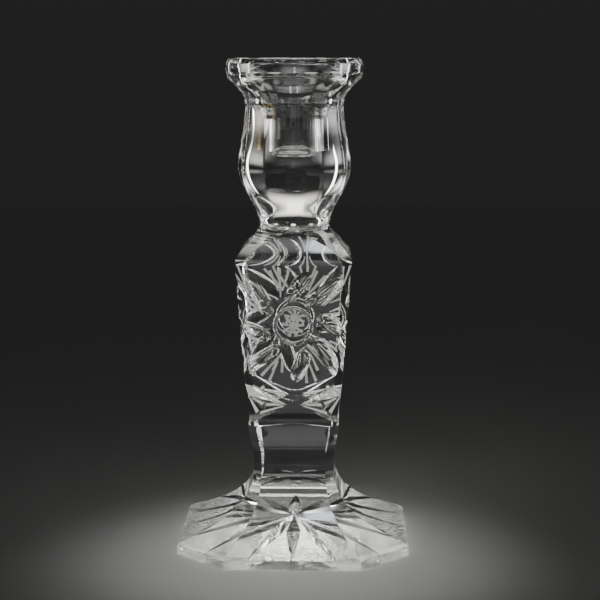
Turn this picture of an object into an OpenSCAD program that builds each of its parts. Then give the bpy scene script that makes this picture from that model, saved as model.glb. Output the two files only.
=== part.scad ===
// Glass candlestick: star-cut foot, square baluster stem with a pinwheel on each face,
// twelve-panel candle cup with a round rim, and a small foil label on the cup.
// Millimetres, +Z up, origin at the centre of the base plane, -Y is the front.

/* [Overall] */
// height of the rim above the table
total_h = 210; // [180:1:240]
// height of the joint between foot and stem
foot_joint_z = 23; // [20:0.5:28]
// height of the joint between stem and cup, at the neck
neck_joint_z = 140; // [136:0.5:142]

/* [Foot] */
// width of the foot across its flats
foot_w = 99; // [80:0.5:120]
// leg of each foot corner chamfer
foot_corner = 20.6; // [12:0.2:28]
// height of the upright rim of the foot
foot_edge_h = 4.4; // [3:0.1:7]
// steepness of the hollow slope from rim to stem
slope_power = 3.2; // [2:0.1:4]
// number of points of the hollow star under the base
star_count = 16; // [8:8:24]
// distance from the axis to the inner corners of the star
star_inner_r = 16.5; // [10:0.5:24]
// depth of the star at its middle
star_d = 2.6; // [1:0.1:4]

/* [Stem] */
// width of the stem at its waist
waist_w = 34.7; // [28:0.1:42]
// height of the waist
waist_z = 38.2; // [32:0.2:46]
// width at the foot of the four tapering panels
panel_low_w = 38.9; // [34:0.1:46]
// height of the foot of the four tapering panels
panel_low_z = 54; // [50:0.5:62]
// width at the top of the four tapering panels
panel_top_w = 49.4; // [42:0.1:56]
// height of the top of the four tapering panels
panel_top_z = 124; // [116:0.5:128]
// leg of the chamfer along each stem corner
stem_corner = 3.6; // [2:0.1:7]
// height of the mitre cut across each stem corner
mitre_z = 63.6; // [58:0.2:72]
// rise of the mitre's upper face for each millimetre of its depth
mitre_up = 0.78; // [0.4:0.02:1.2]
// fall of the mitre's lower face for each millimetre of its depth
mitre_down = 0.915; // [0.4:0.005:1.2]
// distance each mitre stops short of the middle of a face
mitre_gap = 2.8; // [0:0.1:6]
// height of the line round the stem under the pinwheel, at the middle of a face
line_z = 65.4; // [62:0.2:70]
// height of the lower edge of the gable facets
gable_z = 55.6; // [54:0.2:60]
// depth of the gable facets at the corners
gable_d = 1; // [0.2:0.1:2]

/* [Pinwheel] */
// height of the pinwheel centre
wheel_z = 98.2; // [92:0.2:104]
// radius of the ring groove round the button
button_r = 8.6; // [6:0.1:11]
// width of the ring groove
ring_w = 1.8; // [0.6:0.1:2.4]
// depth of the ring groove
ring_d = 0.7; // [0.2:0.1:1.2]
// half length of a diagonal petal
petal_long = 10.6; // [6:0.1:12]
// half length of an upright or level petal
petal_short = 8; // [4:0.1:9]
// depth of a petal
petal_d = 2.4; // [0.5:0.1:2.6]
// angle a diagonal petal leans from its spoke
swirl_long = 13; // [0:1:40]
// angle an upright or level petal leans from its spoke
swirl_short = 30; // [0:1:40]
// angle a fan of fine rays leans from its spoke
swirl_fan = 20; // [0:1:40]
// depth of the fine rays between the petals
ray_d = 0.32; // [0.1:0.01:0.8]

/* [Candle cup] */
// radius of the neck at the joint
neck_r = 14.8; // [13:0.1:16]
// radius of the belly over its panel ridges
belly_r = 24.4; // [21:0.1:28]
// height of the belly
belly_z = 164.6; // [160:0.2:172]
// radius of the throat over its panel ridges
throat_r = 21.3; // [18:0.1:25]
// height of the throat
throat_z = 190.1; // [184:0.2:196]
// radius of the round rim
rim_r = 29.2; // [26:0.1:34]
// height at which the flare meets the rim
rim_z = 203.9; // [200:0.1:207]
// number of panels round the cup
panel_count = 12; // [6:2:16]
// radius of the candle bore
bore_r = 11.25; // [10.8:0.05:12]
// height of the floor of the bore
bore_floor_z = 168.6; // [165:0.2:176]
// height of the top of the straight bore
bore_top_z = 184; // [178:0.5:188]
// radius of the wide mouth above the bore
mouth_r = 21.1; // [17:0.1:23]

/* [Label] */
// height of the middle of the label
label_z = 176.5; // [170:0.5:182]
// length of the label up the cup
label_h = 21.5; // [12:0.5:24]
// width of the label
label_w = 10; // [6:0.5:11]
// thickness of the label
label_t = 0.2; // [0.1:0.05:0.4]

/* [Hidden] */
$fn = 96;
faces = 4;
big = 60;
// lean of the tapering panels from upright
panel_lean = atan((panel_top_w - panel_low_w) / 2 / (panel_top_z - panel_low_z));

// eased value from v0 to v1 as t runs 0 to 1, with a bias that moves the bend
function ease(v0, v1, t, bias = 1) = v0 + (v1 - v0) * (1 - cos(180 * pow(t, bias))) / 2;
// stations of an eased curve, [height, value], without its first point
function curve(z0, v0, z1, v1, n, bias = 1) =
  [for (i = [1:n]) [z0 + (z1 - z0) * i / n, ease(v0, v1, i / n, bias)]];
// hollow slope of the foot, from the value v0 at the rim to v1 at the waist
function slope(z, v0, v1) =
  v1 + (v0 - v1) * pow(max(0, (waist_z - z) / (waist_z - foot_edge_h)), slope_power);

// corner chamfer leg at height z
function corner(z) =
  z < waist_z ? slope(z, foot_corner, stem_corner)
  : z < panel_top_z ? stem_corner
  : stem_corner + (8 - stem_corner) * (z - panel_top_z) / (neck_joint_z - panel_top_z);

// [height, half width] stations of the foot and of the stem
foot_stations = concat(
  [[0, foot_w / 2]],
  [for (i = [0:8]) let (z = foot_edge_h + (foot_joint_z - foot_edge_h) * i / 8)
    [z, slope(z, foot_w / 2, waist_w / 2)]]);
stem_stations = concat(
  [for (i = [0:5]) let (z = foot_joint_z + (waist_z - foot_joint_z) * i / 5)
    [z, slope(z, foot_w / 2, waist_w / 2)]],
  curve(waist_z, waist_w / 2, panel_low_z, panel_low_w / 2, 6),
  [[panel_top_z, panel_top_w / 2]],
  curve(panel_top_z, panel_top_w / 2, neck_joint_z, neck_r + 0.1, 9));
// [height, distance] stations of the chamfer flats
function corner_stations(s) = [for (p = s) [p[0], (2 * p[1] - corner(p[0])) / sqrt(2)]];

// [height, radius over the ridges] stations of the cup's panels, up into the rim
cup_stations = concat(
  [[neck_joint_z, neck_r / cos(180 / panel_count) + 0.1]],
  curve(neck_joint_z, neck_r / cos(180 / panel_count) + 0.1, belly_z, belly_r, 8, 0.88),
  curve(belly_z, belly_r, throat_z, throat_r, 7, 0.85),
  curve(throat_z, throat_r, rim_z, rim_r + 0.6, 7, 1.38),
  [[total_h, rim_r + 8]]);

// slab with the given stations as its two side faces, running along Y
module slab(stations, grow = 0) {
  n = len(stations);
  rotate([90, 0, 0])
    linear_extrude(height = 4 * big, center = true)
      polygon(concat([for (p = stations) [p[1] + grow, p[0]]],
                     [for (i = [n - 1:-1:0]) [-stations[i][1] - grow, stations[i][0]]]));
}

// square column with chamfered corners
module column(stations) {
  intersection() {
    slab(stations);
    rotate([0, 0, 90]) slab(stations);
    rotate([0, 0, 45]) slab(corner_stations(stations));
    rotate([0, 0, -45]) slab(corner_stations(stations));
  }
}

// one point of the star: a V groove from the raised middle to nothing at the rim
module star_groove(reach) {
  half = 180 / star_count;
  wall = star_d * (1 - star_inner_r * cos(half) / reach) / (star_inner_r * sin(half));
  w = 9;
  translate([0, 0, star_d])
    rotate([atan(star_d / reach), 0, 0])
      rotate([90, 0, 0])
        linear_extrude(height = reach + 4)
          polygon([[0, 0], [w, -w * wall], [-w, -w * wall]]);
}

// distance from the axis to the rim of the foot in direction a
function rim_at(a) =
  let (b = abs(a - 90 * round(a / 90)))
    min(foot_w / 2 / cos(b), (foot_w - foot_corner) / sqrt(2) / cos(45 - b));

module foot() {
  color([0.86, 0.9, 0.9, 0.35])
    difference() {
      column(foot_stations);
      for (i = [0:star_count - 1])
        rotate([0, 0, i * 360 / star_count]) star_groove(rim_at(i * 360 / star_count));
    }
}

// frame of one panel face: X across, Y up the face, Z outwards, origin at the pinwheel centre
module on_panel() {
  half = panel_low_w / 2 + (wheel_z - panel_low_z) * tan(panel_lean);
  translate([0, -half, wheel_z]) rotate([90 + panel_lean, 0, 0]) children();
}

// olive-shaped petal cut by the rounded edge of a wheel
module petal(half_len) {
  edge_r = 3.6;
  wheel_r = half_len * half_len / (2 * petal_d) + petal_d / 2;
  translate([0, 0, wheel_r - petal_d])
    rotate([90, 0, 0])
      rotate_extrude() translate([wheel_r - edge_r, 0]) circle(r = edge_r, $fn = 48);
}

// ray of a fan: a shallow strip along X that widens outwards
module ray(start, end, half0, half1) {
  translate([0, 0, -ray_d])
    linear_extrude(height = 1)
      polygon([[start, -half0], [end, -half1], [end, half1], [start, half0]]);
}

module pinwheel() {
  // the short petals sit a little off their spokes, as the wheel was set down by hand
  drift = [-2, -9, 6, 9];
  for (i = [0:7]) {
    long = i % 2 == 1;
    rotate([0, 0, 45 * i + 2 + (long ? 0 : drift[floor(i / 2)])])
      translate([long ? 20.2 : 17, 0, 0])
        rotate([0, 0, long ? -swirl_long : -swirl_short]) petal(long ? petal_long : petal_short);
  }
  // ring groove round the button
  translate([0, 0, -ring_d])
    difference() {
      cylinder(r = button_r, h = 2);
      translate([0, 0, -1]) cylinder(r = button_r - ring_w, h = 4);
    }
  // fans of three rays between the petals
  for (i = [0:7], k = [-1:1])
    rotate([0, 0, 45 * i + 22.5])
      translate([13.6, 0, 0])
        rotate([0, 0, 19 * k - swirl_fan]) ray(k == 0 ? 0 : 3, 12.4, 0.28, 0.62);
  // nine-pointed star on the button
  translate([0, 0, -0.18])
    linear_extrude(height = 1)
      polygon([for (k = [0:8], p = [[4.7, -0.66], [4.7, 0.66], [1.03, 0.38]])
        let (t = 40 * k + 8) [p[0] * cos(t) - p[1] * sin(t), p[0] * sin(t) + p[1] * cos(t)]]);
}

// height on the face, measured from the pinwheel centre, of the level z
function up_face(z) = (z - wheel_z) / cos(panel_lean);

// the line under the pinwheel, and the two facets of the gable below it
module face_foot() {
  for (s = [-1, 1]) {
    a = [s * 1.6, up_face(line_z) + 0.15];
    b = [s * 19, up_face(line_z + 7.45)];
    // straight part of the line: a fine V groove
    translate([a[0], a[1], 0])
      rotate([0, 0, atan2(b[1] - a[1], b[0] - a[0])])
        rotate([90, 0, 90])
          linear_extrude(height = norm(b - a))
            polygon([[-0.58, 0.15], [0, -0.36], [0.58, 0.15]]);
    // facet that falls away from the middle of the face
    rotate([0, s * atan(gable_d / 18), 0])
      linear_extrude(height = 2)
        polygon([[0.02 * s, up_face(gable_z)], [19 * s, up_face(gable_z - 2.3)],
                 [19 * s, up_face(mitre_z)], [0.02 * s, up_face(mitre_z - 0.6)]]);
  }
}

// distance from the axis to the valley of a mitre, along the diagonal
function mitre_reach() =
  (panel_low_w / 2 + (mitre_z - panel_low_z) * tan(panel_lean) + mitre_gap) / sqrt(2);

// mitre cut across a corner, reaching nearly to the middle of the two faces beside it
module corner_mitre() {
  depth = 20;
  rotate([0, 0, 45])
    translate([mitre_reach(), 0, mitre_z])
      rotate([90, 0, 0])
        linear_extrude(height = big, center = true)
          polygon([[0, 0], [depth, depth * mitre_up], [depth, -depth * mitre_down]]);
}

// round limit that turns the square column into the round neck
module neck_round() {
  top = curve(panel_top_z + 3, panel_top_w * 0.66, neck_joint_z, neck_r, 7, 0.75);
  rotate_extrude()
    polygon(concat([[0, 0], [panel_top_w, 0], [panel_top_w, panel_top_z + 3]],
                   [[panel_top_w * 0.66, panel_top_z + 3]],
                   [for (p = top) [p[1], p[0]]], [[0, neck_joint_z]]));
}

module stem() {
  color([0.86, 0.9, 0.9, 0.35])
    difference() {
      intersection() {
        column(stem_stations);
        neck_round();
      }
      for (i = [0:faces - 1]) rotate([0, 0, i * 90]) {
        corner_mitre();
        on_panel() {
          pinwheel();
          face_foot();
        }
      }
    }
}

// flat panels inside a round limit that forms the rim and rounds the end at the neck
module cup_outside(grow = 0) {
  flat = cos(180 / panel_count);
  flats = [for (p = cup_stations) [p[0], p[1] * flat]];
  intersection() {
    panel_slabs(flats, grow);
    rotate_extrude()
      polygon([[0, neck_joint_z], [neck_r + grow, neck_joint_z],
               [neck_r + 8 + grow, neck_joint_z + 8], [rim_r + grow, belly_z],
               [rim_r + grow, total_h - 2.4], [rim_r - 1.4 + grow, total_h], [0, total_h]]);
  }
}

module panel_slabs(flats, grow) {
  step = 360 / panel_count;
  intersection_for (i = [0:panel_count / 2 - 1])
    rotate([0, 0, (i + 0.5) * step]) slab(flats, grow);
}

// wide mouth that narrows into the straight bore
module mouth() {
  taper_r = bore_r + 2.2;
  steps = curve(total_h - 6, mouth_r - 0.4, total_h - 18, taper_r, 6, 0.7);
  rotate_extrude()
    polygon(concat([[0, total_h + 1], [mouth_r + 1.2, total_h + 1], [mouth_r + 0.5, total_h],
                    [mouth_r, total_h - 0.7], [mouth_r - 0.4, total_h - 6]],
                   [for (p = steps) [p[1], p[0]]],
                   [[bore_r, bore_top_z], [0, bore_top_z]]));
}

module candle_cup() {
  color([0.86, 0.9, 0.9, 0.35])
    difference() {
      cup_outside();
      mouth();
      translate([0, 0, bore_floor_z + 1.8]) cylinder(r = bore_r, h = bore_top_z - bore_floor_z - 1.7);
      // rounded step down to the small flat floor
      rotate_extrude()
        polygon([[0, bore_floor_z - 0.6], [7, bore_floor_z - 0.6], [7.6, bore_floor_z],
                 [9.6, bore_floor_z + 0.4], [10.8, bore_floor_z + 1],
                 [bore_r, bore_floor_z + 1.8], [0, bore_floor_z + 1.8]]);
    }
}

// thin foil on the panel behind the left-hand ridge
module maker_label() {
  color([0.83, 0.68, 0.3])
    difference() {
      intersection() {
        cup_outside(label_t);
        rotate([0, 0, -90 - 180 / panel_count])
          translate([0, 0, label_z])
            rotate([90, 0, 0])
              linear_extrude(height = big)
                union() {
                  square([label_w, label_h - 4], center = true);
                  square([label_w - 4, label_h], center = true);
                  for (x = [-1, 1], y = [-1, 1])
                    translate([x * (label_w / 2 - 2), y * (label_h / 2 - 2)]) circle(r = 2);
                }
      }
      cup_outside();
    }
}

foot();
stem();
candle_cup();
maker_label();
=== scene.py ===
import math

import bmesh
import bpy
import numpy as np
from mathutils import Matrix, Vector


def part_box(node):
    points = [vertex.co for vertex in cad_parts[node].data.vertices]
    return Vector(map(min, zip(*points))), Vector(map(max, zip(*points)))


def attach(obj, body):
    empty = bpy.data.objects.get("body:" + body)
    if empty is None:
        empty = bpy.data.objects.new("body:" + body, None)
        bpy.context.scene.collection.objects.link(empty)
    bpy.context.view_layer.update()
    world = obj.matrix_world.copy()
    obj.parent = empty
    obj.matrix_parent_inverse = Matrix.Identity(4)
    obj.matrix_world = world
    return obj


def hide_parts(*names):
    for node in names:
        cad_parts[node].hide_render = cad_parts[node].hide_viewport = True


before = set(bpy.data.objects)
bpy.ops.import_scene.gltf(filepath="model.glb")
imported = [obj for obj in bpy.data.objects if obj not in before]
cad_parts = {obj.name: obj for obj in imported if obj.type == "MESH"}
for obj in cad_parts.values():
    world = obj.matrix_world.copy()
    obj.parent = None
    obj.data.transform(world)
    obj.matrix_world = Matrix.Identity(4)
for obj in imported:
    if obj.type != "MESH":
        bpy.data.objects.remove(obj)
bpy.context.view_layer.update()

MM = 0.001
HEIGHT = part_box("candle_cup")[1][2] / MM          # rim above the table, mm
FOOT_W = (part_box("foot")[1][0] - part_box("foot")[0][0]) / MM
FOOT_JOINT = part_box("foot")[1][2] / MM
NECK_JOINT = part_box("candle_cup")[0][2] / MM

# design sizes in mm, and angles in degrees, as in the part's source
FOOT_CORNER, FOOT_EDGE, SLOPE_POWER = 20.6, 4.4, 3.2
STAR_COUNT, STAR_INNER, STAR_D = 16, 16.5, 2.6
WAIST_W, WAIST_Z = 34.7, 38.2
LOW_W, LOW_Z = 38.9, 54.0
TOP_W, TOP_Z = 49.4, 124.0
STEM_CORNER, NECK_CORNER = 3.6, 8.0
MITRE_Z, MITRE_UP, MITRE_DOWN, MITRE_GAP = 63.6, 0.78, 0.915, 2.8
# for each ray beside a mitre: the rise of its far end, and how much of it is left plain
MITRE_RAYS = ((2.4, 0.12), (-1.5, 0.25), (-4.6, 0.12))
MITRE_RAY_HALF, MITRE_RAY_D = (0.28, 0.8), 0.3
# the V-shaped line under the pinwheel, rounded at its point
LINE_Z, LINE_RISE, LINE_R = 65.4, 0.474, 3.5
LINE_HALF, LINE_D, LINE_REACH = 0.42, 0.36, 17.8
GABLE_Z, GABLE_D, GABLE_REACH, GABLE_DROP = 55.6, 1.0, 18.0, 2.2
WHEEL_Z, BUTTON_R, RING_W = 98.2, 8.6, 1.8
PETAL_LONG, PETAL_SHORT, PETAL_D, PETAL_EDGE = 10.6, 8.0, 2.4, 3.6
SWIRL_LONG, SWIRL_SHORT, SWIRL_FAN = 13.0, 30.0, 20.0
SPOKE_LONG, SPOKE_SHORT, WHEEL_TURN = 20.2, 17.0, 2.0
DRIFT = (-2.0, -9.0, 6.0, 9.0)                    # turn of each short petal away from its spoke
FAN_R, FAN_SPREAD, FAN_REACH, RAY_START, RAY_D = 13.6, 19.0, 12.4, 3.0, 0.32
RAY_HALF = (0.28, 0.62)                           # half width of a ray at its start and its end
BUTTON_RAYS, BUTTON_RAY_R, BUTTON_RAY_HALF, BUTTON_NOTCH_R, BUTTON_RAY_D = 9, 4.7, 0.66, 1.1, 0.18
NECK_R, BELLY_R, BELLY_Z = 14.8, 24.4, 164.6
THROAT_R, THROAT_Z, RIM_R, RIM_Z = 21.3, 190.1, 29.2, 203.9
BELLY_BIAS, THROAT_BIAS, FLARE_BIAS = 0.88, 0.85, 1.38
PANELS, CUSHION, BLUNT = 12, 0.4, 0.993
BORE_R, BORE_FLOOR, BORE_TOP, MOUTH_R = 11.25, 168.6, 184.0, 21.1
LABEL_Z, LABEL_H, LABEL_W, LABEL_T, LABEL_CORNER = 176.5, 21.5, 10.0, 0.2, 2.0
ACROSS, CHAMFER = 10, 3                           # steps along a side and a corner of the foot
FLOOR_R, FLOOR_Z = 1500.0, -0.2
GLASS_IOR = 1.53
SHADOW_TINT = (0.66, 0.67, 0.66, 1)               # share of the light that passes through the glass
LEAN = math.atan((TOP_W - LOW_W) / 2 / (TOP_Z - LOW_Z))


# ---------------------------------------------------------------- profiles
def ease(v0, v1, t, bias=1.0):
    return v0 + (v1 - v0) * (1 - math.cos(math.pi * t ** bias)) / 2


def curve(z0, v0, z1, v1, n, bias=1.0):
    """Eased steps (z, v) from just after (z0, v0) to (z1, v1)."""
    return [(z0 + (z1 - z0) * i / n, ease(v0, v1, i / n, bias)) for i in range(1, n + 1)]


def slope(z, v0, v1):
    """Hollow slope of the foot, from v0 at its edge to v1 at the waist."""
    return v1 + (v0 - v1) * max(0.0, (WAIST_Z - z) / (WAIST_Z - FOOT_EDGE)) ** SLOPE_POWER


def corner(z):
    """Chamfer of the square column at the level z."""
    if z < WAIST_Z:
        return slope(z, FOOT_CORNER, STEM_CORNER)
    if z < TOP_Z:
        return STEM_CORNER
    return STEM_CORNER + (NECK_CORNER - STEM_CORNER) * (z - TOP_Z) / (NECK_JOINT - TOP_Z)


# ---------------------------------------------------------------- materials
def glass(name, rough, tint, bump, bump_scale, smudge=0.015, clarity=1.0, cloud=45.0):
    """Glass with uneven roughness and a faint ripple, which casts only a light shadow."""
    mat = bpy.data.materials.new(name)
    mat.use_nodes = True
    nt = mat.node_tree
    nt.nodes.clear()
    out = nt.nodes.new("ShaderNodeOutputMaterial")
    bsdf = nt.nodes.new("ShaderNodeBsdfPrincipled")
    bsdf.inputs["Transmission Weight"].default_value = clarity
    bsdf.inputs["IOR"].default_value = GLASS_IOR
    bsdf.inputs["Base Color"].default_value = (*tint, 1)
    coord = nt.nodes.new("ShaderNodeTexCoord")
    noise = nt.nodes.new("ShaderNodeTexNoise")
    noise.inputs["Scale"].default_value = cloud
    noise.inputs["Detail"].default_value = 4.0
    ramp = nt.nodes.new("ShaderNodeMapRange")
    ramp.inputs["From Min"].default_value = 0.45
    ramp.inputs["From Max"].default_value = 0.75
    ramp.inputs["To Min"].default_value = rough
    ramp.inputs["To Max"].default_value = rough + smudge
    nt.links.new(coord.outputs["Object"], noise.inputs["Vector"])
    nt.links.new(noise.outputs["Fac"], ramp.inputs["Value"])
    nt.links.new(ramp.outputs["Result"], bsdf.inputs["Roughness"])
    wave = nt.nodes.new("ShaderNodeTexNoise")
    wave.inputs["Scale"].default_value = bump_scale
    wave.inputs["Detail"].default_value = 2.0
    bmp = nt.nodes.new("ShaderNodeBump")
    bmp.inputs["Strength"].default_value = bump
    bmp.inputs["Distance"].default_value = 0.001
    nt.links.new(coord.outputs["Object"], wave.inputs["Vector"])
    nt.links.new(wave.outputs["Fac"], bmp.inputs["Height"])
    nt.links.new(bmp.outputs["Normal"], bsdf.inputs["Normal"])
    path = nt.nodes.new("ShaderNodeLightPath")
    clear = nt.nodes.new("ShaderNodeBsdfTransparent")
    clear.inputs["Color"].default_value = SHADOW_TINT
    mix = nt.nodes.new("ShaderNodeMixShader")
    nt.links.new(path.outputs["Is Shadow Ray"], mix.inputs[0])
    nt.links.new(bsdf.outputs[0], mix.inputs[1])
    nt.links.new(clear.outputs[0], mix.inputs[2])
    nt.links.new(mix.outputs[0], out.inputs["Surface"])
    return mat


def seam_material():
    """The hot joint between two glass pieces, which doesn't show."""
    mat = bpy.data.materials.new("hot_joint")
    mat.use_nodes = True
    nt = mat.node_tree
    nt.nodes.clear()
    out = nt.nodes.new("ShaderNodeOutputMaterial")
    clear = nt.nodes.new("ShaderNodeBsdfTransparent")
    nt.links.new(clear.outputs[0], out.inputs["Surface"])
    return mat


TINT = (0.985, 0.99, 0.982)
polished = glass("polished_glass", 0.0, TINT, bump=0.02, bump_scale=90.0)
frosted = glass("frosted_glass", 0.42, (0.93, 0.93, 0.92), bump=0.35, bump_scale=2200.0, smudge=0.12,
                clarity=0.55)
worn = glass("worn_glass", 0.03, (0.95, 0.95, 0.94), bump=0.3, bump_scale=500.0, smudge=0.40,
             clarity=0.92, cloud=110.0)
cut_glass = glass("cut_glass", 0.09, TINT, bump=0.02, bump_scale=90.0, smudge=0.05)
seam = seam_material()
GLASS_MATERIALS = (polished, frosted, seam, worn, cut_glass)
GLASS, FROST, SEAM, WORN, CUT = range(5)          # slots of the glass pieces


# ---------------------------------------------------------------- mesh tools
def add_mesh(name, verts, faces, face_mats=None, mats=None):
    me = bpy.data.meshes.new(name)
    me.from_pydata([tuple(c * MM for c in v) for v in verts], [], faces)
    for m in mats or GLASS_MATERIALS:
        me.materials.append(m)
    if face_mats is not None:
        me.polygons.foreach_set("material_index", face_mats)
    me.update()
    ob = bpy.data.objects.new(name, me)
    bpy.context.scene.collection.objects.link(ob)
    return ob


def tidy(ob, weld=1e-6):
    """Weld, drop faces without area, and turn every face outwards."""
    bm = bmesh.new()
    bm.from_mesh(ob.data)
    bmesh.ops.remove_doubles(bm, verts=bm.verts, dist=weld)
    bmesh.ops.dissolve_degenerate(bm, edges=bm.edges, dist=weld)
    bmesh.ops.recalc_face_normals(bm, faces=bm.faces)
    bm.to_mesh(ob.data)
    bm.free()


def shade(ob, degrees):
    """Smooth shading inside each cut or facet, with large flat faces kept truly flat."""
    me = ob.data
    me.polygons.foreach_set("use_smooth", [True] * len(me.polygons))
    me.set_sharp_from_angle(angle=math.radians(degrees))
    # inside a rounded cut every edge is smooth
    slot = [p.material_index for p in me.polygons]
    near = {}
    for p in me.polygons:
        for key in p.edge_keys:
            near.setdefault(key, []).append(slot[p.index])
    for edge in me.edges:
        if near.get(edge.key) == [CUT, CUT]:
            edge.use_edge_sharp = False
    mod = ob.modifiers.new("flat", "WEIGHTED_NORMAL")
    mod.keep_sharp = True
    mod.weight = 90
    bpy.context.view_layer.update()
    dg = bpy.context.evaluated_depsgraph_get()
    new = bpy.data.meshes.new_from_object(ob.evaluated_get(dg), preserve_all_data_layers=True,
                                          depsgraph=dg)
    ob.modifiers.clear()
    ob.data = new
    bpy.data.meshes.remove(me)


def loft(rings, start=None, end=None, side=GLASS):
    """Quads between rings of equal length, with flat caps of the given material."""
    m = len(rings[0])
    verts = [v for r in rings for v in r]
    faces, mats = [], []
    for i in range(len(rings) - 1):
        for j in range(m):
            a, b = i * m + j, i * m + (j + 1) % m
            faces.append((a, b, b + m, a + m))
            mats.append(side)
    if start is not None:
        faces.append(tuple(range(m - 1, -1, -1)))
        mats.append(start)
    if end is not None:
        faces.append(tuple((len(rings) - 1) * m + j for j in range(m)))
        mats.append(end)
    return verts, faces, mats


def circle(r, z, m):
    """Ring of m points, the first at the front."""
    return [(r * math.cos(2 * math.pi * k / m - math.pi / 2),
             r * math.sin(2 * math.pi * k / m - math.pi / 2), z) for k in range(m)]


def column_ring(a, c, z, across=ACROSS, chamfer=CHAMFER):
    """Ring of a square with chamfered corners, its points shared out by side."""
    pts = [(-(a - c), -a), (a - c, -a), (a, -(a - c)), (a, a - c),
           (a - c, a), (-(a - c), a), (-a, a - c), (-a, -(a - c))]
    ring = []
    for i in range(8):
        (x0, y0), (x1, y1) = pts[i], pts[(i + 1) % 8]
        n = across if i % 2 == 0 else chamfer
        ring += [(x0 + (x1 - x0) * s / n, y0 + (y1 - y0) * s / n, z) for s in range(n)]
    return ring


def boolean(ob, cutter, operation="DIFFERENCE"):
    """Apply an exact boolean, which keeps the cutter's material slots, and drop the cutter."""
    mod = ob.modifiers.new("cut", "BOOLEAN")
    mod.operation = operation
    mod.solver = "EXACT"
    mod.object = cutter
    bpy.context.view_layer.update()
    dg = bpy.context.evaluated_depsgraph_get()
    me = bpy.data.meshes.new_from_object(ob.evaluated_get(dg))
    ob.modifiers.clear()
    old, ob.data = ob.data, me
    bpy.data.meshes.remove(old)
    drop = cutter.data
    bpy.data.objects.remove(cutter)
    bpy.data.meshes.remove(drop)


class Cutter:
    """Closed solids gathered into one cutting mesh, in mm."""

    def __init__(self):
        self.verts, self.faces, self.mats = [], [], []

    def add(self, verts, faces, mat, matrix=Matrix()):
        base = len(self.verts)
        self.verts += [tuple(matrix @ Vector(v)) for v in verts]
        self.faces += [tuple(base + i for i in f) for f in faces]
        self.mats += [mat] * len(faces)

    def build(self, name):
        ob = add_mesh(name, self.verts, self.faces, self.mats)
        tidy(ob, 1e-7)
        return ob


# ---------------------------------------------------------------- foot
def octagon_radius(theta, a, c):
    """Distance from the axis to the foot's outline in direction theta."""
    best = 1e9
    for k in range(8):
        d = a if k % 2 == 0 else (2 * a - c) / math.sqrt(2)
        cosv = math.cos(theta - k * math.pi / 4)
        if cosv > 1e-6:
            best = min(best, d / cosv)
    return best


def edge_angles(a, c):
    """Directions of the points on the foot's bottom edge, with True for the star's tips."""
    corner_at = math.atan((a - c) / a)
    angles = [(2 * math.pi / STAR_COUNT * k, True) for k in range(STAR_COUNT)]
    for k in range(4):
        for s in (-1, 1):
            angles.append(((k * math.pi / 2 + s * corner_at) % (2 * math.pi), False))
    return sorted(angles)


def foot_star(angles, a, c):
    """Hollow star with flat lands between its tips: ridges and valleys run from the raised middle."""
    verts, faces, mats, low = [(0, 0, STAR_D)], [], [], []
    for theta, tip in angles:
        r = octagon_radius(theta, a, c)
        low.append(len(verts))
        verts.append((r * math.cos(theta), r * math.sin(theta), 0))
    tips = [i for i, (theta, tip) in enumerate(angles) if tip]
    for k, i in enumerate(tips):
        j = tips[(k + 1) % STAR_COUNT]
        theta = (k + 0.5) * 2 * math.pi / STAR_COUNT
        inner = len(verts)
        verts.append((STAR_INNER * math.cos(theta), STAR_INNER * math.sin(theta), 0))
        faces += [(0, inner, low[i]), (0, low[j], inner)]
        land = [low[(i + s) % len(low)] for s in range((j - i) % len(low) + 1)]
        faces.append(tuple([inner] + land[::-1]))
        mats += [GLASS, GLASS, WORN]
    return verts, faces, mats, low


def rim_face(verts, top, angles, low):
    """Upright face of the rim, from the bottom edge up to the points of the first ring in top."""
    t0, t1 = [math.atan2(verts[i][1], verts[i][0]) % (2 * math.pi) for i in (top[0], top[-1])]
    span = (t1 - t0) % (2 * math.pi)
    below = []
    for i, (theta, tip) in enumerate(angles):
        d = (theta - t0) % (2 * math.pi)
        if d > 2 * math.pi - 1e-6:
            d = 0.0
        if d <= span + 1e-6:
            below.append((d, low[i]))
    return tuple([i for d, i in sorted(below)] + top[::-1])


def build_foot():
    """Foot: star and lands underneath, upright rim, and the hollow slope up to the joint."""
    a, c = FOOT_W / 2, FOOT_CORNER
    angles = edge_angles(a, c)
    verts, faces, mats, low = foot_star(angles, a, c)
    # rings of the hollow slope, above a small rounded edge
    stations = [(FOOT_EDGE - 0.9, a), (FOOT_EDGE - 0.5, a - 0.06), (FOOT_EDGE - 0.2, a - 0.25),
                (FOOT_EDGE, a - 0.6)]
    for i in range(1, 31):
        z = FOOT_EDGE + (FOOT_JOINT - FOOT_EDGE) * i / 30
        stations.append((z, slope(z, a, WAIST_W / 2)))
    rings = [column_ring(w, corner(z) if z > FOOT_EDGE else c, z) for z, w in stations]
    m, base = len(rings[0]), len(verts)
    ring_verts, ring_faces, ring_mats = loft(rings, end=SEAM)
    verts += ring_verts
    faces += [tuple(base + i for i in f) for f in ring_faces]
    mats += ring_mats
    start = 0
    for side in range(8):
        count = ACROSS if side % 2 == 0 else CHAMFER
        top = [base + (start + s) % m for s in range(count + 1)]
        faces.append(rim_face(verts, top, angles, low))
        mats.append(GLASS)
        start += count
    ob = add_mesh("foot_glass_body", verts, faces, mats)
    tidy(ob, 1e-7)
    shade(ob, 14)
    return ob


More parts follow.
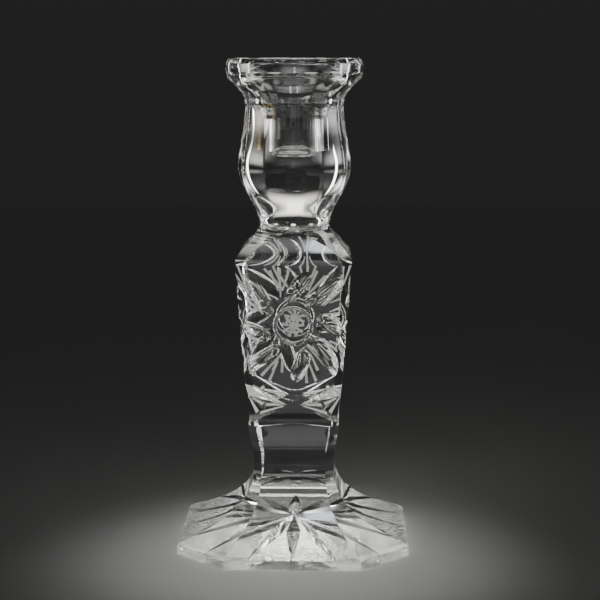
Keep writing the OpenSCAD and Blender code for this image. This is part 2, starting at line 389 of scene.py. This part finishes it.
# ---------------------------------------------------------------- stem
def stem_stations():
    """Levels (z, half width) of the stem, from the foot's joint to the neck."""
    s = []
    for i in range(19):
        z = FOOT_JOINT + (WAIST_Z - FOOT_JOINT) * i / 18
        s.append((z, slope(z, FOOT_W / 2, WAIST_W / 2)))
    s += curve(WAIST_Z, WAIST_W / 2, LOW_Z, LOW_W / 2, 18)
    s += [(TOP_Z, TOP_W / 2)]
    s += curve(TOP_Z, TOP_W / 2, NECK_JOINT, NECK_R + 0.1, 24)
    return s


def petal_solid(half, matrix, cutter):
    """Olive cut left by a wheel with a rounded edge, closed by a lid just above the face."""
    d, e, lid = PETAL_D, PETAL_EDGE, 0.35
    wheel = half * half / (2 * d) + d / 2             # the wheel's radius
    zc = wheel - d                                    # its centre above the face
    reach = math.sqrt(wheel ** 2 - (zc - lid) ** 2)
    rows, cols = 40, 30
    verts, faces = [], []
    for i in range(rows + 1):
        x = reach * math.sin(math.pi / 2 * (2 * i / rows - 1)) * 0.9999
        ring = math.sqrt((zc - lid) ** 2 + x * x) - (wheel - e)
        w = math.sqrt(max(0.0, e * e - ring * ring))
        for j in range(cols + 1):
            y = w * math.sin(math.pi / 2 * (2 * j / cols - 1))
            z = zc - math.sqrt(max(0.0, ((wheel - e) + math.sqrt(e * e - y * y)) ** 2 - x * x))
            verts.append((x, y, min(lid, z)))
    k = cols + 1
    for i in range(rows):
        for j in range(cols):
            a = i * k + j
            faces.append((a, a + 1, a + k + 1, a + k))
        faces.append((i * k, i * k + k, (i + 1) * k + cols, i * k + cols))
    faces.append(tuple(range(k)))
    faces.append(tuple(rows * k + j for j in range(k)))
    cutter.add(verts, faces, CUT, matrix)


def strip(cutter, start, end, half0, half1, depth, normal, matrix):
    """Shallow flat-bottomed frosted strip, widening from start to end."""
    p0, p1, up = Vector(start), Vector(end), Vector(normal).normalized()
    side = (p1 - p0).cross(up).normalized()
    verts = []
    for lift in (-depth, depth):
        for p, half in ((p0, half0), (p1, half1)):
            verts += [tuple(p + up * lift - side * half), tuple(p + up * lift + side * half)]
    cutter.add(verts, [(0, 1, 3, 2), (4, 6, 7, 5), (0, 4, 5, 1), (2, 3, 7, 6), (0, 2, 6, 4),
                       (1, 5, 7, 3)], FROST, matrix)


def lathe(profile, m):
    """Closed ring turned from a closed profile of (r, z)."""
    rings = [[(r * math.cos(2 * math.pi * k / m), r * math.sin(2 * math.pi * k / m), z)
              for k in range(m)] for r, z in profile]
    verts = [v for r in rings for v in r]
    n = len(rings)
    faces = []
    for i in range(n):
        for j in range(m):
            a, b = i * m + j, i * m + (j + 1) % m
            c, d = ((i + 1) % n) * m + (j + 1) % m, ((i + 1) % n) * m + j
            faces.append((a, b, c, d))
    return verts, faces


def face_frame(i):
    """Frame on face i of the stem: x across it, y up it and z outwards, from the pinwheel centre."""
    half = LOW_W / 2 + (WHEEL_Z - LOW_Z) * math.tan(LEAN)
    return (Matrix.Rotation(i * math.pi / 2, 4, "Z") @ Matrix.Translation((0, -half, WHEEL_Z))
            @ Matrix.Rotation(math.pi / 2 + LEAN, 4, "X"))


def up_face(z):
    """Distance up a face from the pinwheel centre to the level z."""
    return (z - WHEEL_Z) / math.cos(LEAN)


def stem_body():
    """Square column with chamfered corners, kept inside a round limit from the shoulder up."""
    rings = [column_ring(w, corner(z), z, across=2, chamfer=1) for z, w in stem_stations()]
    v, f, m = loft(rings, start=SEAM, end=SEAM)
    ob = add_mesh("stem_glass_body", v, f, m)
    tidy(ob)
    wide, low = TOP_W * 0.66, TOP_Z + 3
    lim = [(TOP_W, 20.0), (TOP_W, low), (wide, low)]
    lim += [(r, z) for z, r in curve(low, wide, NECK_JOINT, NECK_R, 16, 0.75)]
    lim[-1] = (lim[-1][0], NECK_JOINT + 0.001)
    v, f, m = loft([circle(r, z, 144) for r, z in lim], start=GLASS, end=SEAM)
    round_limit = add_mesh("round_limit", v, f, m)
    tidy(round_limit)
    boolean(ob, round_limit, "INTERSECT")
    return ob


def cut_mitre(ob, turn):
    """V-shaped hollow across a lower corner, with a frosted fan on each side of the corner."""
    reach = (LOW_W / 2 + (MITRE_Z - LOW_Z) * math.tan(LEAN) + MITRE_GAP) / math.sqrt(2)
    depth, width = 20.0, 30.0
    tri = [(reach, MITRE_Z), (reach + depth, MITRE_Z + depth * MITRE_UP),
           (reach + depth, MITRE_Z - depth * MITRE_DOWN)]
    verts = [(x, y, z) for y in (-width, width) for x, z in tri]
    cut = Cutter()
    cut.add(verts, [(0, 1, 2), (5, 4, 3), (0, 3, 4, 1), (1, 4, 5, 2), (2, 5, 3, 0)], GLASS, turn)
    boolean(ob, cut.build("mitre"))
    cut = Cutter()
    for side in (-1, 1):
        tip = side * (reach - MITRE_GAP * math.sqrt(2))
        for rise, gap in MITRE_RAYS:
            up = MITRE_UP if rise > 0 else -MITRE_DOWN
            far = Vector((reach + rise / up, side * 0.9, MITRE_Z + rise))
            near = Vector((reach, tip, MITRE_Z)).lerp(far, gap)
            facing = (abs(up), 0.0, -1.0 if up > 0 else 1.0)
            strip(cut, near, far, *MITRE_RAY_HALF, MITRE_RAY_D, facing, turn)
    boolean(ob, cut.build("mitre_fan"))


def cut_line(ob, base):
    """Fine V-shaped groove that runs under the pinwheel from side to side."""
    path = [(x, up_face(LINE_Z + LINE_RISE * (math.hypot(x, LINE_R) - LINE_R)))
            for x in np.linspace(-LINE_REACH, LINE_REACH, 49)]
    verts, faces = [], []
    for k, (x, y) in enumerate(path):
        (x0, y0), (x1, y1) = path[max(0, k - 1)], path[min(len(path) - 1, k + 1)]
        nx, ny = Vector((y0 - y1, x1 - x0)).normalized() * LINE_HALF
        verts += [(x - nx, y - ny, 0.15), (x + nx, y + ny, 0.15), (x, y, -LINE_D)]
    for k in range(len(path) - 1):
        for p in range(3):
            q = (p + 1) % 3
            faces.append((3 * k + p, 3 * k + q, 3 * k + 3 + q, 3 * k + 3 + p))
    faces += [(0, 2, 1), (3 * len(path) - 3, 3 * len(path) - 2, 3 * len(path) - 1)]
    cut = Cutter()
    cut.add(verts, faces, GLASS, base)
    boolean(ob, cut.build("line"))


def cut_gable(ob, base):
    """Two flat facets under the line, which meet in a ridge and slope away to the corners."""
    for side in (-1, 1):
        far = side * GABLE_REACH
        plan = [(0.0, GABLE_Z), (far, GABLE_Z - GABLE_DROP), (far, MITRE_Z), (0.0, MITRE_Z - 0.6)]
        verts = [(x, up_face(z), 0.6) for x, z in plan]
        verts += [(x, up_face(z), -GABLE_D * abs(x) / GABLE_REACH + 0.002) for x, z in plan]
        cut = Cutter()
        cut.add(verts, [(0, 1, 2, 3), (4, 5, 6, 7), (0, 1, 5, 4), (1, 2, 6, 5), (2, 3, 7, 6),
                        (3, 0, 4, 7)], GLASS, base)
        boolean(ob, cut.build("gable"))


def cut_petals(ob, base):
    """Eight olive petals, long and short by turns, and the ring groove round the button."""
    cut = Cutter()
    for k in range(8):
        long = k % 2 == 1
        turn = math.radians(45 * k + WHEEL_TURN + (0 if long else DRIFT[k // 2]))
        mat = (base @ Matrix.Rotation(turn, 4, "Z")
               @ Matrix.Translation((SPOKE_LONG if long else SPOKE_SHORT, 0, 0))
               @ Matrix.Rotation(-math.radians(SWIRL_LONG if long else SWIRL_SHORT), 4, "Z"))
        petal_solid(PETAL_LONG if long else PETAL_SHORT, mat, cut)
    middle = BUTTON_R - RING_W / 2
    profile = [(middle + RING_W / 2 * math.cos(t), RING_W / 2 * math.sin(t) + 0.05)
               for t in np.linspace(0, 2 * math.pi, 49)[:-1]]
    cut.add(*lathe(profile, 96), CUT, base)
    boolean(ob, cut.build("petals"))


def cut_rays(ob, base):
    """Frosted fans between the petals, and the frosted star on the button."""
    cut = Cutter()
    for k in range(8):
        apex = (base @ Matrix.Rotation(math.radians(45 * k + 22.5), 4, "Z")
                @ Matrix.Translation((FAN_R, 0, 0)))
        for s in (-1, 0, 1):
            turn = apex @ Matrix.Rotation(math.radians(FAN_SPREAD * s - SWIRL_FAN), 4, "Z")
            start = RAY_START if s else 0.0
            strip(cut, (start, 0, 0), (FAN_REACH, 0, 0), *RAY_HALF, RAY_D, (0, 0, 1), turn)
    star = []
    step = 360 / BUTTON_RAYS
    for k in range(BUTTON_RAYS):
        t = math.radians(step * k + 8)
        r = BUTTON_RAY_R
        for off in (-BUTTON_RAY_HALF, BUTTON_RAY_HALF):
            star.append((r * math.cos(t) - off * math.sin(t), r * math.sin(t) + off * math.cos(t)))
        t += math.radians(step / 2)
        star.append((BUTTON_NOTCH_R * math.cos(t), BUTTON_NOTCH_R * math.sin(t)))
    n = len(star)
    verts = [(x, y, -BUTTON_RAY_D) for x, y in star] + [(x, y, 0.3) for x, y in star]
    faces = [tuple(range(n - 1, -1, -1)), tuple(range(n, 2 * n))]
    faces += [(j, (j + 1) % n, n + (j + 1) % n, n + j) for j in range(n)]
    cut.add(verts, faces, FROST, base)
    boolean(ob, cut.build("rays"))


def build_stem():
    """Stem, with a mitre on each lower corner and a line, a gable and a pinwheel on each face."""
    ob = stem_body()
    for i in range(4):
        cut_mitre(ob, Matrix.Rotation(math.pi / 4 + i * math.pi / 2, 4, "Z"))
    for i in range(4):
        cut_line(ob, face_frame(i))
        cut_gable(ob, face_frame(i))
    for i in range(4):
        cut_petals(ob, face_frame(i))
        cut_rays(ob, face_frame(i))
    tidy(ob, 2e-7)
    shade(ob, 9)
    return ob


# ---------------------------------------------------------------- candle cup
def panel_radius(ridge, off):
    """Radius of a fire-polished panel, slightly cushioned and blunted at its ridges."""
    flat = ridge * math.cos(math.pi / PANELS)
    return min(flat / math.cos(off) * (1 - CUSHION) + (flat + ridge) / 2 * CUSHION, ridge * BLUNT)


def cup_ring(ridge, z, per=12):
    """One level of the cup, held inside the round rim."""
    ring = []
    for k in range(PANELS):
        mid = -math.pi / 2 + (k + 0.5) * 2 * math.pi / PANELS
        for s in range(per):
            off = (s / per - 0.5) * 2 * math.pi / PANELS
            r = min(panel_radius(ridge, off), RIM_R)
            ring.append((r * math.cos(mid + off), r * math.sin(mid + off), z))
    return ring


def cup_profile(belly_steps, throat_steps):
    """Levels (z, radius over the ridges) of the cup, from its joint up to the throat."""
    start = NECK_R / math.cos(math.pi / PANELS) + 0.1
    st = [(NECK_JOINT, start)]
    st += curve(NECK_JOINT, start, BELLY_Z, BELLY_R, belly_steps, BELLY_BIAS)
    return st + curve(BELLY_Z, BELLY_R, THROAT_Z, THROAT_R, throat_steps, THROAT_BIAS)


def build_cup():
    """Cup: panels that run out into the round rim, then the mouth and the socket inside."""
    st = cup_profile(34, 26)
    st += curve(THROAT_Z, THROAT_R, RIM_Z, RIM_R + 0.6, 34, FLARE_BIAS)
    z, r = st[-1]
    while r * math.cos(math.pi / PANELS) < RIM_R:
        z, r = z + 0.15, r + 0.2
        st.append((z, r))
    rings = [cup_ring(r, z) for z, r in st]
    m = len(rings[0])
    rings[0] = circle(NECK_R, NECK_JOINT, m)
    near_neck = [min(1, (NECK_R + 0.5) / math.hypot(x, y)) for x, y, z in rings[1]]
    rings[1] = [(x * k, y * k, z) for k, (x, y, z) in zip(near_neck, rings[1])]
    top = [(RIM_R, HEIGHT - 2.4), (RIM_R - 0.15, HEIGHT - 1.8), (RIM_R - 0.6, HEIGHT - 0.8),
           (RIM_R - 1.15, HEIGHT - 0.2), (RIM_R - 1.6, HEIGHT)]
    rings += [circle(r, z, m) for r, z in top]
    lip_z, lip_r = HEIGHT - 6, MOUTH_R - 0.4
    funnel_z, funnel_r = HEIGHT - 18, BORE_R + 2.2
    inside = [(MOUTH_R + 1.4, HEIGHT), (MOUTH_R + 0.8, HEIGHT - 0.1), (MOUTH_R + 0.25, HEIGHT - 0.4),
              (MOUTH_R, HEIGHT - 1.0), (lip_r, lip_z)]
    inside += [(r, z) for z, r in curve(lip_z, lip_r, funnel_z, funnel_r, 20, 0.7)]
    inside += [(r, z) for z, r in curve(funnel_z, funnel_r, BORE_TOP, BORE_R, 8)]
    inside += [(BORE_R, BORE_FLOOR + 1.8 + 0.5 * i) for i in (20, 10, 0)]
    inside += [(10.8, BORE_FLOOR + 1), (10.3, BORE_FLOOR + 0.65), (9.6, BORE_FLOOR + 0.4),
               (8.4, BORE_FLOOR + 0.15), (7.6, BORE_FLOOR), (7.3, BORE_FLOOR - 0.35),
               (7.0, BORE_FLOOR - 0.6)]
    rings += [circle(r, z, m) for r, z in inside]
    v, f, mats = loft(rings, start=SEAM, end=FROST)
    ob = add_mesh("candle_cup_glass_body", v, f, mats)
    tidy(ob)
    shade(ob, 22)
    return ob


# ---------------------------------------------------------------- label
def build_label():
    """Thin foil label that follows one panel of the cup, on its left side."""
    rows, cols = 60, 28
    turn = Matrix.Rotation(-math.pi / 2 - math.pi / PANELS, 4, "Z")
    zs, rs = zip(*cup_profile(200, 200))
    verts = []
    for layer in (0.01, LABEL_T):
        for i in range(rows + 1):
            v = (i / rows - 0.5) * LABEL_H
            edge = max(0.0, abs(v) - (LABEL_H / 2 - LABEL_CORNER))
            half = LABEL_W / 2 - LABEL_CORNER + math.sqrt(max(0.0, LABEL_CORNER ** 2 - edge * edge))
            for j in range(cols + 1):
                u = (2 * j / cols - 1) * half
                z = LABEL_Z + v
                # the lower corner towards the back has come unstuck a little
                curl = 0.7 * max(0.0, (-v - u * 0.8 - 9.5) / 4) ** 2 if u < 0 else 0.0
                ridge = float(np.interp(z, zs, rs))
                off = math.atan2(u, ridge * math.cos(math.pi / PANELS))
                r = panel_radius(ridge, off) + layer + min(curl, 0.6)
                verts.append(tuple(turn @ Vector((r * math.sin(off), -r * math.cos(off), z))))
    k, n = cols + 1, (rows + 1) * (cols + 1)
    faces = []
    for i in range(rows):
        for j in range(cols):
            a = i * k + j
            faces += [(a, a + k, a + k + 1, a + 1), (n + a, n + a + 1, n + a + k + 1, n + a + k)]
        for a, b in ((i * k, (i + 1) * k), ((i + 1) * k + cols, i * k + cols)):
            faces.append((a, n + a, n + b, b))
    for j in range(cols):
        for a, b in ((j + 1, j), (rows * k + j, rows * k + j + 1)):
            faces.append((a, n + a, n + b, b))
    ob = add_mesh("maker_label_foil", verts, faces, mats=[foil_material()])
    tidy(ob)
    shade(ob, 40)
    return ob


def foil_material():
    """Satin gold foil with a fine, uneven grain."""
    mat = bpy.data.materials.new("gold_foil")
    mat.use_nodes = True
    nt = mat.node_tree
    bsdf = nt.nodes["Principled BSDF"]
    bsdf.inputs["Metallic"].default_value = 1.0
    coord = nt.nodes.new("ShaderNodeTexCoord")
    noise = nt.nodes.new("ShaderNodeTexNoise")
    noise.inputs["Scale"].default_value = 900.0
    noise.inputs["Detail"].default_value = 5.0
    ramp = nt.nodes.new("ShaderNodeValToRGB")
    ramp.color_ramp.elements[0].position = 0.35
    ramp.color_ramp.elements[0].color = (0.52, 0.36, 0.10, 1)
    ramp.color_ramp.elements[1].position = 0.65
    ramp.color_ramp.elements[1].color = (0.85, 0.66, 0.26, 1)
    rough = nt.nodes.new("ShaderNodeMapRange")
    rough.inputs["To Min"].default_value = 0.28
    rough.inputs["To Max"].default_value = 0.5
    bmp = nt.nodes.new("ShaderNodeBump")
    bmp.inputs["Strength"].default_value = 0.25
    bmp.inputs["Distance"].default_value = 0.0002
    nt.links.new(coord.outputs["Object"], noise.inputs["Vector"])
    nt.links.new(noise.outputs["Fac"], ramp.inputs["Fac"])
    nt.links.new(noise.outputs["Fac"], rough.inputs["Value"])
    nt.links.new(noise.outputs["Fac"], bmp.inputs["Height"])
    nt.links.new(ramp.outputs["Color"], bsdf.inputs["Base Color"])
    nt.links.new(rough.outputs["Result"], bsdf.inputs["Roughness"])
    nt.links.new(bmp.outputs["Normal"], bsdf.inputs["Normal"])
    return mat


PIECES = []
for node, slot, build in (("foot", "foot_glass", build_foot), ("stem", "stem_glass", build_stem),
                          ("candle_cup", "cup_glass", build_cup),
                          ("maker_label", "label_foil", build_label)):
    piece = build()
    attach(piece, "root")
    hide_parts(node)
    PIECES.append(piece)


# ---------------------------------------------------------------- stage, light, camera
def plain_material(name, color, rough):
    """One even colour, for the floor."""
    mat = bpy.data.materials.new(name)
    mat.use_nodes = True
    bsdf = mat.node_tree.nodes["Principled BSDF"]
    bsdf.inputs["Base Color"].default_value = (*color, 1)
    bsdf.inputs["Roughness"].default_value = rough
    return mat


floor = add_mesh("floor", [(FLOOR_R * math.cos(t), FLOOR_R * math.sin(t), FLOOR_Z)
                           for t in np.linspace(0, 2 * math.pi, 129)[:-1]],
                 [tuple(range(128))], mats=[plain_material("floor_grey", (0.62, 0.62, 0.61), 0.75)])

world = bpy.data.worlds.new("dark_room")
bpy.context.scene.world = world
world.use_nodes = True
wn = world.node_tree
way = wn.nodes.new("ShaderNodeTexCoord")
axes = wn.nodes.new("ShaderNodeSeparateXYZ")
sky = wn.nodes.new("ShaderNodeMapRange")
sky.inputs["To Min"].default_value = 0.019
sky.inputs["To Max"].default_value = 0.031
wn.links.new(way.outputs["Generated"], axes.inputs[0])
wn.links.new(axes.outputs["Z"], sky.inputs["Value"])
wn.links.new(sky.outputs["Result"], wn.nodes["Background"].inputs[0])

lit_glass = bpy.data.collections.new("lit_glass")
lit_floor = bpy.data.collections.new("lit_floor")
for piece in PIECES:
    lit_glass.objects.link(piece)
lit_floor.objects.link(floor)


def softbox(name, azimuth, elevation, distance, width, height, radiance, color=(1, 1, 1), soft=0.35):
    """Soft light on the glass alone, fading to its edges. Azimuth 0 is the front, 90 the right."""
    lamp = bpy.data.lights.new(name, "AREA")
    lamp.shape = "RECTANGLE"
    lamp.size, lamp.size_y = width, height
    lamp.energy, lamp.color = radiance * math.pi * width * height, color
    lamp.use_nodes = True
    nt = lamp.node_tree
    emit = nt.nodes["Emission"]
    geo = nt.nodes.new("ShaderNodeNewGeometry")
    part = nt.nodes.new("ShaderNodeSeparateXYZ")
    nt.links.new(geo.outputs["Parametric"], part.inputs[0])
    fades = []
    for axis in ("X", "Y"):
        off = nt.nodes.new("ShaderNodeMath")
        off.operation = "SUBTRACT"
        off.inputs[1].default_value = 0.5
        size = nt.nodes.new("ShaderNodeMath")
        size.operation = "ABSOLUTE"
        fade = nt.nodes.new("ShaderNodeMapRange")
        fade.interpolation_type = "SMOOTHSTEP"
        fade.inputs["From Min"].default_value = 0.5
        fade.inputs["From Max"].default_value = 0.5 - soft
        nt.links.new(part.outputs[axis], off.inputs[0])
        nt.links.new(off.outputs[0], size.inputs[0])
        nt.links.new(size.outputs[0], fade.inputs["Value"])
        fades.append(fade)
    both = nt.nodes.new("ShaderNodeMath")
    both.operation = "MULTIPLY"
    nt.links.new(fades[0].outputs["Result"], both.inputs[0])
    nt.links.new(fades[1].outputs["Result"], both.inputs[1])
    nt.links.new(both.outputs[0], emit.inputs["Strength"])
    ob = bpy.data.objects.new(name, lamp)
    bpy.context.scene.collection.objects.link(ob)
    az, el = math.radians(azimuth), math.radians(elevation)
    middle = Vector((0, 0, HEIGHT * MM / 2))
    ob.location = middle + distance * Vector(
        (math.sin(az) * math.cos(el), -math.cos(az) * math.cos(el), math.sin(el)))
    ob.rotation_euler = (middle - ob.location).to_track_quat("-Z", "Y").to_euler()
    ob.light_linking.receiver_collection = lit_glass
    ob.visible_camera = False
    return ob


softbox("front_low", 0, 6, 1.4, 1.5, 0.36, 1.0, soft=0.35)
softbox("front_dome", 0, 28, 1.5, 2.2, 0.9, 1.6, soft=0.45)
softbox("key", -26, 34, 1.2, 0.26, 0.26, 26, (1.0, 0.97, 0.90), soft=0.3)
softbox("right_low", 94, 8, 1.2, 0.8, 0.30, 11, (0.98, 0.99, 1.0), soft=0.45)
softbox("left_low", 272, 8, 1.2, 0.8, 0.30, 12, (1.0, 0.97, 0.88), soft=0.45)
softbox("right_bounce", 92, -5, 0.55, 0.45, 0.09, 3.6, soft=0.45)
softbox("left_bounce", 268, -5, 0.55, 0.45, 0.09, 4.2, (1.0, 0.97, 0.90), soft=0.45)
softbox("right_fill", 118, 22, 1.2, 0.7, 0.5, 4.6, soft=0.45)
softbox("left_fill", 240, 22, 1.2, 0.7, 0.5, 4.8, (1.0, 0.98, 0.93), soft=0.45)
softbox("left_front_fill", 310, 20, 1.2, 0.8, 0.6, 6.5, (1.0, 0.98, 0.93), soft=0.45)
softbox("right_front_fill", 48, 16, 1.2, 0.8, 0.5, 6.5, soft=0.45)
softbox("back_band", 180, 33, 1.2, 1.5, 0.5, 3.0, (1.0, 0.97, 0.88), soft=0.5)
softbox("back_high", 180, 56, 1.2, 2.0, 0.7, 5.0, (1.0, 0.99, 0.95), soft=0.3)
softbox("overhead", 0, 89, 1.2, 1.1, 1.1, 2.4, soft=0.4)
softbox("back_left_strip", -140, 8, 0.9, 0.04, 0.8, 18, (1.0, 0.98, 0.92), soft=0.3)
softbox("back_right_strip", 138, 8, 0.9, 0.04, 0.8, 18, (0.96, 0.98, 1.0), soft=0.3)
softbox("top_window", 1.5, 82, 1.15, 0.06, 0.6, 20, (0.80, 0.90, 1.0))

# a soft pool of light on the floor round the foot; the floor isn't seen through the glass
pool = bpy.data.lights.new("floor_pool", "SPOT")
pool.energy = 23
pool.spot_size = math.radians(9.6)
pool.spot_blend = 1.0
pool.shadow_soft_size = 0.03
pool_ob = bpy.data.objects.new("floor_pool", pool)
bpy.context.scene.collection.objects.link(pool_ob)
pool_ob.location = (0, -0.035, 1.3)
pool_ob.light_linking.receiver_collection = lit_floor
floor.visible_transmission = False

# the camera stands level with the rim, a little over three heights away, and looks down
VIEW_DISTANCE, VIEW_HEIGHT, VIEW_SIDE = 651.7 * MM, 210.9 * MM, 2.4 * MM
VIEW_TURN, VIEW_PITCH = math.radians(1.3), 0.16
cam = bpy.data.cameras.new("camera")
cam.sensor_width = 36.0
cam.lens = 90.8
cam.clip_start = 0.01
camera = bpy.data.objects.new("camera", cam)
bpy.context.scene.collection.objects.link(camera)
camera.matrix_world = (Matrix.Rotation(VIEW_TURN, 4, "Z")
                       @ Matrix.Translation((VIEW_SIDE, -VIEW_DISTANCE, VIEW_HEIGHT))
                       @ Matrix.Rotation(math.pi / 2 - VIEW_PITCH, 4, "X"))
bpy.context.scene.camera = camera

cycles = bpy.context.scene.cycles
cycles.max_bounces = 32
cycles.transmission_bounces = 32
cycles.glossy_bounces = 12
cycles.transparent_max_bounces = 24
